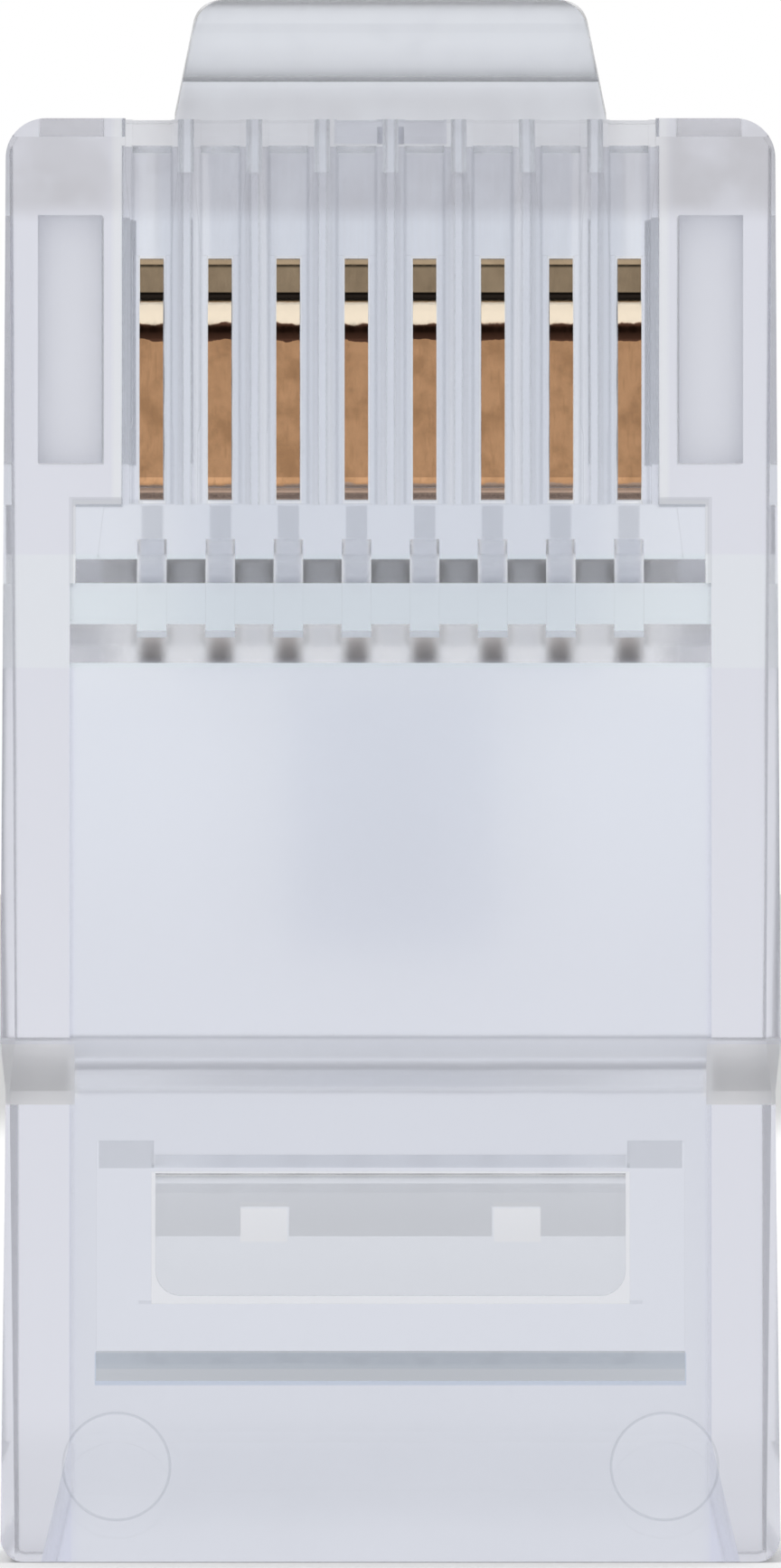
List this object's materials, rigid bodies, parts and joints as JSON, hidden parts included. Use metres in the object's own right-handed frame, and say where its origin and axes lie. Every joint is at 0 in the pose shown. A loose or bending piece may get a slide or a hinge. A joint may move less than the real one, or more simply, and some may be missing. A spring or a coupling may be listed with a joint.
{
  "type": "rj45 modular plug",
  "caption": "Clear uncrimped modular plug for twisted-pair cable: one-piece housing with a sprung latch, a cable anchor bar and a row of blade contacts.",
  "frame": {"origin": "centre of the cable entry in the plane of the rear face", "axes": "+Z from the cable entry to the nose, +X along the row from contact 1 to contact 8, the contact side faces -Y and the latch +Y"},
  "size_m": [0.0116, 0.0117, 0.0234],
  "materials": {
    "clear_polycarbonate": "gloss",
    "contact_plating": "polished"
  },
  "bodies": {
    "housing": {"housing": "clear_polycarbonate"},
    "latch": {"latch": "clear_polycarbonate"},
    "jacket_clamp": {"jacket_clamp": "clear_polycarbonate"},
    "contact_1": {"contact_1": "contact_plating"},
    "contact_2": {"contact_2": "contact_plating"},
    "contact_3": {"contact_3": "contact_plating"},
    "contact_4": {"contact_4": "contact_plating"},
    "contact_5": {"contact_5": "contact_plating"},
    "contact_6": {"contact_6": "contact_plating"},
    "contact_7": {"contact_7": "contact_plating"},
    "contact_8": {"contact_8": "contact_plating"}
  },
  "joints": [
    {"name": "latch_press", "type": "hinge", "parent": "housing", "child": "latch", "pos_m": [0, 0.00325, 0.0227], "axis": [-1, 0, 0], "range_deg": [0, 13.5], "stiffness_Nm_per_rad": 0.12},
    {"name": "clamp_press", "type": "hinge", "parent": "housing", "child": "jacket_clamp", "pos_m": [0, -0.0032, 0.00562], "axis": [1, 0, 0], "range_deg": [0, 24]},
    {"name": "contact_1_crimp", "type": "slide", "parent": "housing", "child": "contact_1", "axis": [0, 1, 0], "range_m": [0, 0.00068]},
    {"name": "contact_2_crimp", "type": "slide", "parent": "housing", "child": "contact_2", "axis": [0, 1, 0], "range_m": [0, 0.00068]},
    {"name": "contact_3_crimp", "type": "slide", "parent": "housing", "child": "contact_3", "axis": [0, 1, 0], "range_m": [0, 0.00068]},
    {"name": "contact_4_crimp", "type": "slide", "parent": "housing", "child": "contact_4", "axis": [0, 1, 0], "range_m": [0, 0.00068]},
    {"name": "contact_5_crimp", "type": "slide", "parent": "housing", "child": "contact_5", "axis": [0, 1, 0], "range_m": [0, 0.00068]},
    {"name": "contact_6_crimp", "type": "slide", "parent": "housing", "child": "contact_6", "axis": [0, 1, 0], "range_m": [0, 0.00068]},
    {"name": "contact_7_crimp", "type": "slide", "parent": "housing", "child": "contact_7", "axis": [0, 1, 0], "range_m": [0, 0.00068]},
    {"name": "contact_8_crimp", "type": "slide", "parent": "housing", "child": "contact_8", "axis": [0, 1, 0], "range_m": [0, 0.00068]}
  ]
}
